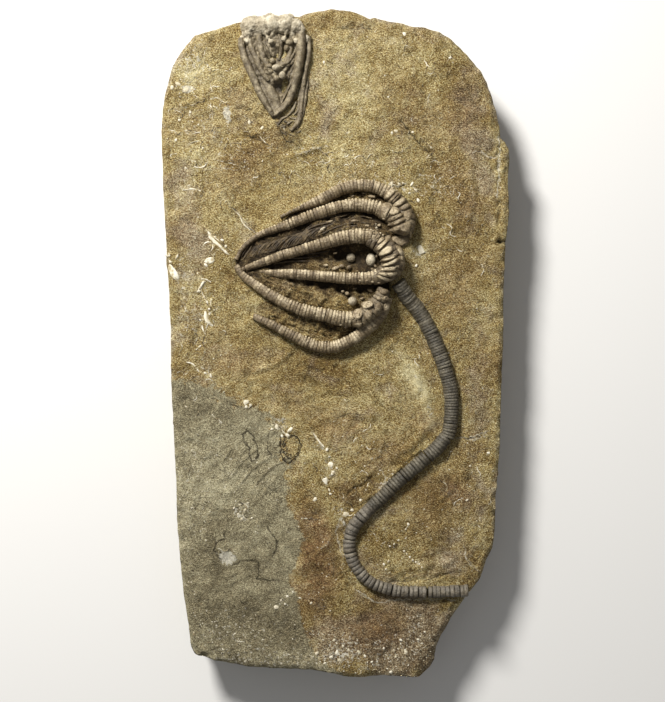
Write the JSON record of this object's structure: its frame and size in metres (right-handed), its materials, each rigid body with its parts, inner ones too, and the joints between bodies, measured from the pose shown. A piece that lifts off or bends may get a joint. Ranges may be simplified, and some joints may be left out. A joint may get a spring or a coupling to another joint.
{
  "type": "crinoid fossil",
  "caption": "Stone slab with a sea lily fossil in relief: a cup with curved ribbed arms, a long winding ribbed stem, and the small head of another at the rim.",
  "frame": {"origin": "on the slab's flat back, under the middle of the slab", "axes": "+Y along the slab, towards the end with the small head; +Z out of the face that the fossils are on; +X towards the edge that the stem runs out at"},
  "size_m": [0.105, 0.201, 0.026],
  "materials": {
    "siltstone": "rough broken siltstone",
    "calcite": "matt fossil calcite",
    "dark_calcite": "matt dark fossil calcite"
  },
  "bodies": {
    "root": {"slab": "siltstone", "cup": "calcite", "arm_1": "calcite", "arm_2": "calcite", "arm_3": "calcite", "arm_4": "calcite", "arm_5": "calcite", "arm_6": "calcite", "stem": "dark_calcite", "ossicle_1": "calcite", "ossicle_2": "calcite", "ossicle_3": "calcite", "ossicle_4": "calcite", "small_cup": "calcite", "small_arm_1": "calcite", "small_arm_2": "calcite", "small_arm_3": "calcite", "small_arm_4": "calcite", "small_arm_5": "calcite", "small_arm_6": "calcite", "small_arm_7": "calcite"}
  },
  "joints": []
}
